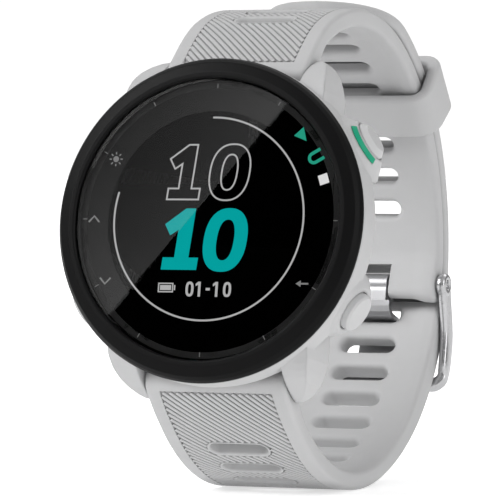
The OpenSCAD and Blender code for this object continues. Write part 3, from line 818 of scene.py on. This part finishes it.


# The silicone's colour carries painted shade, darker in its slots, grooves and corners.
SILICONE = surface("silicone", (0.56, 0.56, 0.565), 0.62, spread=0.02, grain=3600, grain_h=0.010, spec=0.35,
                   sheen=0.08, shade=0.26)
CASE = surface("case_polymer", (0.58, 0.58, 0.585), 0.5, spread=0.018, grain=5200, grain_h=0.007, spec=0.4,
               round_edge=0.5)
BUTTON = surface("button_polymer", (0.61, 0.61, 0.615), 0.45, spread=0.018, grain=5600, grain_h=0.005,
                 spec=0.4, round_edge=0.2)
BEZEL = surface("bezel_polymer", (0.0034, 0.0034, 0.0036), 0.4, spread=0.12, grain=4200, grain_h=0.012,
                spec=0.11, round_edge=0.25)
STEEL = surface("steel", (0.62, 0.62, 0.63), 0.3, metal=1.0, spread=0.05, patch=500, grain=3000,
                grain_h=0.004)
POLISHED = surface("polished_steel", (0.6, 0.6, 0.61), 0.24, metal=1.0, spread=0.04, patch=400, grain=2600,
                   grain_h=0.003, rough_spread=0.05, round_edge=0.15)
BRUSHED = surface("brushed_steel", (0.47, 0.47, 0.48), 0.36, metal=1.0, spread=0.10, patch=900, grain=2500,
                  grain_h=0.012, streak=(0.06, 1.0, 1.0), round_edge=0.12)
ACCENT = surface("accent_green", (0.010, 0.37, 0.205), 0.38, spread=0.08, grain_h=0.004, spec=0.25,
                 round_edge=0.12)
FINISH = {
    "lens_adhesive": surface("black_adhesive", (0.006, 0.006, 0.006), 0.6, spread=0.2),
    "display_panel": black_print("display"),
    "backlight_guide": surface("light_guide", (0.75, 0.75, 0.74), 0.3, spread=0.03),
    "display_flex": surface("flex_circuit", (0.45, 0.2, 0.04), 0.45, patch=900),
    "inner_chassis": surface("dark_polymer", (0.03, 0.03, 0.032), 0.55, spread=0.15, round_edge=0.15),
    "main_board": surface("circuit_board", (0.01, 0.09, 0.035), 0.4, spread=0.25, patch=1500),
    "gps_antenna": surface("antenna_metal", (0.7, 0.5, 0.25), 0.35, metal=1.0),
    "battery": surface("cell_pouch", (0.45, 0.48, 0.52), 0.4, metal=0.6, spread=0.08),
    "piezo_beeper": surface("piezo_brass", (0.75, 0.58, 0.3), 0.3, metal=1.0),
    "back_cover": surface("back_polymer", (0.5, 0.5, 0.505), 0.5, spread=0.03, round_edge=0.2),
    "back_gasket": surface("seal_rubber", (0.02, 0.02, 0.02), 0.7, spread=0.2),
    "sensor_window": surface("sensor_glass", (0.008, 0.008, 0.009), 0.12, spread=0.2, coat=0.6,
                             round_edge=0.2),
    "sensor_leds": surface("led_lens", (0.55, 0.65, 0.45), 0.25, spread=0.1),
    "charging_contacts": surface("contact_gold", (0.85, 0.62, 0.28), 0.25, metal=1.0, round_edge=0.1),
}
SHARED = {
    CASE: ["case_middle"], BEZEL: ["bezel"], ACCENT: ["start_accent"],
    BUTTON: [key + "_button" for key in KEYS],
    STEEL: (["shield_can", "vibration_motor", "case_screws", "upper_spring_bar", "lower_spring_bar",
             "upper_release_pin", "lower_release_pin", "upper_bar_spring", "lower_bar_spring"]
            + [key + "_clip" for key in KEYS] + [key + "_spring" for key in KEYS]),
    POLISHED: ["buckle_frame", "buckle_pin"], BRUSHED: ["buckle_tongue"],
    SILICONE: ["strap_upper", "strap_lower", "keeper_loop"],
    FINISH["main_board"]: ["sensor_board"], FINISH["inner_chassis"]: ["tact_switches"],
    FINISH["back_gasket"]: ["button_seals"],
}


def glass_material():
    """Thin clear glass: see-through, with reflections by Fresnel."""
    mat, nt, out = blank_material("cover_glass")
    clear = node(nt, "ShaderNodeBsdfTransparent", Color=(0.96, 0.96, 0.96, 1))
    gloss = node(nt, "ShaderNodeBsdfGlossy", Roughness=0.0)
    fres = node(nt, "ShaderNodeFresnel", IOR=1.5)
    coord = nt.nodes.new("ShaderNodeTexCoord")
    smear = node(nt, "ShaderNodeTexNoise", Scale=120.0, Detail=3.0)
    nt.links.new(coord.outputs["Object"], smear.inputs["Vector"])
    nt.links.new(remap(nt, smear.outputs["Fac"], 0.0, 1.0, 0.92, 1.0), gloss.inputs["Color"])
    flat = nt.nodes.new("ShaderNodeNewGeometry")
    nt.links.new(flat.outputs["True Normal"], gloss.inputs["Normal"])
    mix = nt.nodes.new("ShaderNodeMixShader")
    nt.links.new(fres.outputs[0], mix.inputs[0])
    nt.links.new(clear.outputs[0], mix.inputs[1])
    nt.links.new(gloss.outputs[0], mix.inputs[2])
    nt.links.new(mix.outputs[0], out)
    return mat


def dress(obj, mat):
    obj.data.materials.clear()
    obj.data.materials.append(mat)


for mat, names in SHARED.items():
    for n in names:
        dress(NODES[n], mat)
for n, mat in FINISH.items():
    dress(NODES[n], mat)
dress(NODES["lens"], glass_material())

# ---- Soft pieces and the buckle ----
for build, body, cad, mat, slot in (
        (build_strap_upper, "root", "strap_upper", SILICONE, "silicone"),
        (build_strap_lower, "root", "strap_lower", SILICONE, "silicone"),
        (build_keeper, "keeper", "keeper_loop", SILICONE, "silicone"),
        (build_buckle, "buckle", "buckle_frame", POLISHED, "polished_steel")):
    piece = build()
    dress(piece, mat)
    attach(piece, body)
    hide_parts(cad)


# ---- Coil springs ----
def seat_coil(cad):
    """A copy of a CAD coil that keeps its foot on the case."""
    mesh = NODES[cad].data.copy()
    obj = put(cad.replace("spring", "coil"), mesh)
    dress(obj, STEEL)
    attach(obj, "root")
    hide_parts(cad)
    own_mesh(obj)


for key in KEYS:
    seat_coil(key + "_spring")
for half in ("upper", "lower"):
    seat_coil(half + "_bar_spring")

# ---- Display ----
# These marks glow: painted light in place of the lamps' light on the print and display.
TEAL = glowing_print("teal_light", (0.0012, 0.37, 0.365))
WHITE_LINE = glowing_print("grey_light", (0.45, 0.45, 0.45))
WHITE_MARK = glowing_print("white_print_glow", (0.75, 0.75, 0.75), spread=0.03)
GREY_MARK = glowing_print("grey_print_glow", (0.22, 0.22, 0.22), spread=0.06)
GREEN_MARK = glowing_print("green_print_glow", (0.02, 0.33, 0.22))
LIT_Z, PRINT_Z = 0.43, 0.37            # heights of the marks, and of the black print under them
LINE_W = 0.21                          # width of the hour's outline
RING_R, RING_W, RING_SHIFT = 13.3, 0.24, Vector((-0.12, 0.15))
BORDER_R = (14.2, 18.25)
TICK_R, START_R, SYMBOL_R, CHEVRON_R = 17.6, 16.5, 15.9, 16.3


def mark(name, loops, mat):
    piece = flat_piece(name, loops, LIT_Z)
    dress(piece, mat)
    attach(piece, "root")


def outlined(loop):
    """Both edges of a line drawn along a closed outline."""
    return [offset_loop(loop, LINE_W / 2), offset_loop(loop, -LINE_W / 2)]


def draw_border_print():
    """The black print on the glass round the display."""
    piece = flat_piece("lens_border_print", [circle_loop(r, 120) for r in BORDER_R[::-1]], PRINT_Z, 0.02)
    dress(piece, black_print("border_print"))
    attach(piece, "root")


def draw_time():
    """The hour in outline, the minutes solid, and the ring round them."""
    mark("hour_digit_one", outlined(glyph_one(x=-6.15, y=2.65, h=7.2)), WHITE_LINE)
    outer, inner = oval(cx=2.5, cy=6.25, w=2.78, h=3.68), oval(cx=2.45, cy=6.25, w=1.08, h=2.32)
    mark("hour_digit_zero", outlined(outer) + outlined(inner), WHITE_LINE)
    mark("minute_digit_one", [glyph_one(x=-6.3, y=-6.58, h=8.05)], TEAL)
    outer, inner = oval(cx=2.5, cy=-2.62, w=3.03, h=4.16), oval(cx=2.5, cy=-2.62, w=1.2, h=2.66)
    mark("minute_digit_zero", [outer, inner], TEAL)
    band = [tuple(Vector(p) + RING_SHIFT) for p in arc_band(RING_R, RING_W, 91, -195)]
    mark("display_ring", [band], WHITE_LINE)


def draw_battery(x, y, w=2.15, h=1.25):
    """A battery seen from the side: its wall, its charge and its nub."""
    loops = [box_loop(x + d, y + d, w - 2 * d, h - 2 * d) for d in (0, 0.16, 0.3)]
    mark("battery_mark", loops + [box_loop(x + w + 0.1, y + 0.3, 0.18, h - 0.6)], WHITE_LINE)


def draw_date(x, y, h=1.95):
    """Plain numerals beside the battery."""
    loops = []
    for ch in "01-10":
        loops += small_digit(ch, x, y, h)
        x += 1.42 if ch != "-" else 1.0
    mark("date_numerals", loops, WHITE_LINE)


def draw_ticks():
    """A tick at every 30 degrees of the border, except where the hook stands."""
    for k in range(12):
        if k != 1:
            mark(f"tick_{k}", [placed(box_loop(-0.3, -0.045, 0.6, 0.09), TICK_R, 30 * k, 30 * k)], GREY_MARK)


def draw_symbols():
    """Plain signs beside the buttons: triangle, square and hook, arrow, lamp and two chevrons."""
    play = [(-0.75, -0.85), (0.95, 0.0), (-0.75, 0.85)]
    mark("start_symbol", [placed(play, START_R, 42, 42 - 90)], GREEN_MARK)
    mark("stop_symbol", [placed(box_loop(-0.65, -0.65, 1.3, 1.3), START_R, 19, 19 - 90)], WHITE_MARK)
    turns = [math.pi * k / 10 for k in range(11)]
    bow = [(-0.35 - 0.62 * math.sin(t), 0.62 * math.cos(t)) for t in turns]
    mark("start_hook", [placed(stroke([(0.95, 0.62)] + bow + [(0.95, -0.62)], 0.42), START_R + 0.1, 30, 30)],
         GREEN_MARK)
    head, shaft = [(-0.25, 0.42), (-0.95, 0.0), (-0.25, -0.42)], [(-0.25, -0.11), (0.8, -0.11)]
    arrow = head + shaft + [(x, -y) for x, y in shaft[::-1]]
    mark("back_symbol", [placed(arrow, SYMBOL_R, -31)], GREY_MARK)
    rays = [placed(box_loop(0.62, -0.08, 0.32, 0.16), SYMBOL_R, 150, 45 * k) for k in range(8)]
    mark("light_symbol", [placed(circle_loop(0.4), SYMBOL_R, 150)] + rays, GREY_MARK)
    chevron = stroke([(-0.75, -0.4), (0.0, 0.4), (0.75, -0.4)], 0.24)
    mark("up_symbol", [placed(chevron, CHEVRON_R, 180)], GREY_MARK)
    mark("down_symbol", [placed([(x, -y) for x, y in chevron][::-1], CHEVRON_R, 210)], GREY_MARK)


draw_border_print()
draw_time()
draw_battery(x=-6.5, y=-9.55)
draw_date(x=-2.6, y=-10.05)
draw_ticks()
draw_symbols()

# ---- Camera ----
CAM_TURN, CAM_RISE = math.radians(22.579), math.radians(1.38)
CAM_AWAY, CAM_LENS = 561.8, 297.5
CAM_AIM = (-5.96, -0.19)               # the middle of the view from the wrist centre, across and up
CAM_RIGHT = Vector((math.cos(CAM_TURN), math.sin(CAM_TURN), 0))
CAM_BACK = Vector((math.sin(CAM_TURN), -math.cos(CAM_TURN), math.tan(CAM_RISE))).normalized()
CAM_UP = CAM_BACK.cross(CAM_RIGHT)
CAM_AT = (CAM_RIGHT * CAM_AIM[0] + CAM_UP * CAM_AIM[1] + CAM_BACK * CAM_AWAY) * MM


def add_camera():
    """A long lens in front and to the right, a little above the wrist's centre."""
    data = bpy.data.cameras.new("camera")
    data.sensor_width = 36
    data.lens = CAM_LENS
    data.clip_start, data.clip_end = 0.01, 30
    turn = Matrix((CAM_RIGHT, CAM_UP, CAM_BACK)).transposed()
    cam = put("camera", data)
    cam.matrix_world = Matrix.Translation(CAM_AT) @ turn.to_4x4()
    bpy.context.scene.camera = cam


# ---- Floor ----
FLOOR_HALF = 6.0


def add_floor():
    """A pale floor under the watch, which looks brighter away from it and lights the watch evenly; its dimmer
    glow near the watch is a painted shade that deepens the real shadow there.
    """
    low, far = CAD_BOX[0].z, FLOOR_HALF
    mesh = bpy.data.meshes.new("floor")
    mesh.from_pydata([(-far, -far, low), (far, -far, low), (far, far, low), (-far, far, low)], [],
                     [(0, 1, 2, 3)])
    mat = surface("floor_white", (0.86, 0.86, 0.86), 0.8, spread=0.005, patch=8, grain=400, grain_h=0.01,
                  spec=0.1, emit=0.5)
    nt = mat.node_tree
    spot = nt.nodes.new("ShaderNodeTexCoord")
    length = nt.nodes.new("ShaderNodeVectorMath")
    length.operation = "LENGTH"
    nt.links.new(spot.outputs["Object"], length.inputs[0])
    # The glow dims near the watch for the camera: a painted shade round it, on top of its real shadow.
    glow = remap(nt, length.outputs["Value"], 0.03, 0.08, 0.57, 1.15)
    seen_by = nt.nodes.new("ShaderNodeLightPath")
    pick = node(nt, "ShaderNodeMix", A=0.42)
    nt.links.new(seen_by.outputs["Is Camera Ray"], pick.inputs["Factor"])
    nt.links.new(glow, pick.inputs["B"])
    bsdf = next(n for n in nt.nodes if n.type == "BSDF_PRINCIPLED")
    nt.links.new(pick.outputs["Result"], bsdf.inputs["Emission Strength"])
    floor = put("floor", mesh)
    dress(floor, mat)


# ---- Lights ----
GLASS_TOP = 1.4
LENS_C = HEAD @ Vector((0, 0, GLASS_TOP * MM))
LENS_N = (HEAD.to_3x3() @ Vector((0, 0, 1))).normalized()
MIRRORED_EYE = CAM_AT - 2 * (CAM_AT - LENS_C).dot(LENS_N) * LENS_N
# The window's edge in the cover glass, as two points of the dial
EDGE_A, EDGE_B = Vector((10.1, 15.0)), Vector((-12.9, -12.8))
CARD_DEEP, CARD_PAST, CARD_GLOW = 26, 12, 0.7


def mirrored(p, reach=1.0):
    """The point that the glass mirrors at p of the dial, that far away in metres."""
    at = HEAD @ Vector((p.x * MM, p.y * MM, GLASS_TOP * MM))
    return at + (at - MIRRORED_EYE).normalized() * reach


def add_window_card():
    """A card that glows towards its first edge, seen only in reflections."""
    side = (EDGE_A - EDGE_B).normalized()
    away = Vector((-side.y, side.x)) * CARD_DEEP
    far_a, far_b = EDGE_A + side * CARD_PAST, EDGE_B - side * CARD_PAST
    mesh = bpy.data.meshes.new("window_card")
    mesh.from_pydata([mirrored(p) for p in (far_a, far_b, far_b + away, far_a + away)], [], [(0, 1, 2, 3)])
    uv = mesh.uv_layers.new(name="card")
    for i, at in enumerate(((0, 0), (1, 0), (1, 1), (0, 1))):
        uv.data[i].uv = at
    mat, nt, out = blank_material("window_card")
    glow = node(nt, "ShaderNodeEmission", Strength=CARD_GLOW)
    coord = nt.nodes.new("ShaderNodeTexCoord")
    split = nt.nodes.new("ShaderNodeSeparateXYZ")
    ramp = nt.nodes.new("ShaderNodeValToRGB")
    ramp.color_ramp.elements[0].color = (1, 1, 1, 1)
    ramp.color_ramp.elements[1].color = (0, 0, 0, 1)
    nt.links.new(coord.outputs["UV"], split.inputs[0])
    nt.links.new(split.outputs["Y"], ramp.inputs[0])
    nt.links.new(ramp.outputs[0], glow.inputs["Color"])
    nt.links.new(glow.outputs[0], out)
    card = put("window_card", mesh)
    dress(card, mat)
    card.visible_camera = False
    card.visible_shadow = False
    card.visible_diffuse = False


def softbox(name, at, wide, high, watts):
    """A rectangular light that faces the wrist's centre."""
    data = bpy.data.lights.new(name, "AREA")
    data.shape = "RECTANGLE"
    data.size, data.size_y = wide, high
    data.energy = watts
    obj = put(name, data)
    obj.location = at
    obj.rotation_mode = "QUATERNION"
    obj.rotation_quaternion = (-Vector(at)).to_track_quat("-Z", "Y")


# ---- World ----
def add_world():
    """White for the camera; for light, a soft sky with a dark patch where the glass mirrors it."""
    world = bpy.data.worlds.new("studio")
    bpy.context.scene.world = world
    world.use_nodes = True
    nt = world.node_tree
    nt.nodes.clear()
    coord = nt.nodes.new("ShaderNodeTexCoord")
    path = nt.nodes.new("ShaderNodeLightPath")
    # the dark patch
    dot = nt.nodes.new("ShaderNodeVectorMath")
    dot.operation = "DOT_PRODUCT"
    dot.inputs[1].default_value = (LENS_C - MIRRORED_EYE).normalized()
    nt.links.new(coord.outputs["Generated"], dot.inputs[0])
    flag = remap(nt, dot.outputs["Value"], 0.90, 0.975, 0.34, 0.0)
    # reflections see a sky that brightens upwards
    height = nt.nodes.new("ShaderNodeSeparateXYZ")
    nt.links.new(coord.outputs["Generated"], height.inputs[0])
    tone = node(nt, "ShaderNodeMix", A=1.0)
    nt.links.new(path.outputs["Is Glossy Ray"], tone.inputs["Factor"])
    nt.links.new(remap(nt, height.outputs["Z"], -0.15, 0.6, 0.2, 1.45), tone.inputs["B"])
    both = nt.nodes.new("ShaderNodeMath")
    both.operation = "MULTIPLY"
    nt.links.new(flag, both.inputs[0])
    nt.links.new(tone.outputs["Result"], both.inputs[1])
    sky = node(nt, "ShaderNodeBackground", Color=(1, 1, 1, 1))
    nt.links.new(both.outputs[0], sky.inputs["Strength"])
    backdrop = node(nt, "ShaderNodeBackground", Color=(1, 1, 1, 1), Strength=1.05)
    mix = nt.nodes.new("ShaderNodeMixShader")
    nt.links.new(path.outputs["Is Camera Ray"], mix.inputs[0])
    nt.links.new(sky.outputs[0], mix.inputs[1])
    nt.links.new(backdrop.outputs[0], mix.inputs[2])
    nt.links.new(mix.outputs[0], nt.nodes.new("ShaderNodeOutputWorld").inputs[0])


add_camera()
add_floor()
add_window_card()
softbox("key_softbox", at=(-0.9, -0.95, 0.85), wide=0.9, high=0.9, watts=15)
softbox("right_fill", at=(1.5, -0.5, 0.5), wide=0.8, high=1.2, watts=7)
softbox("back_top", at=(0.2, 1.0, 1.4), wide=1.4, high=0.8, watts=4.5)
add_world()
bpy.context.scene.view_settings.view_transform = "Standard"
bpy.context.scene.view_settings.look = "None"
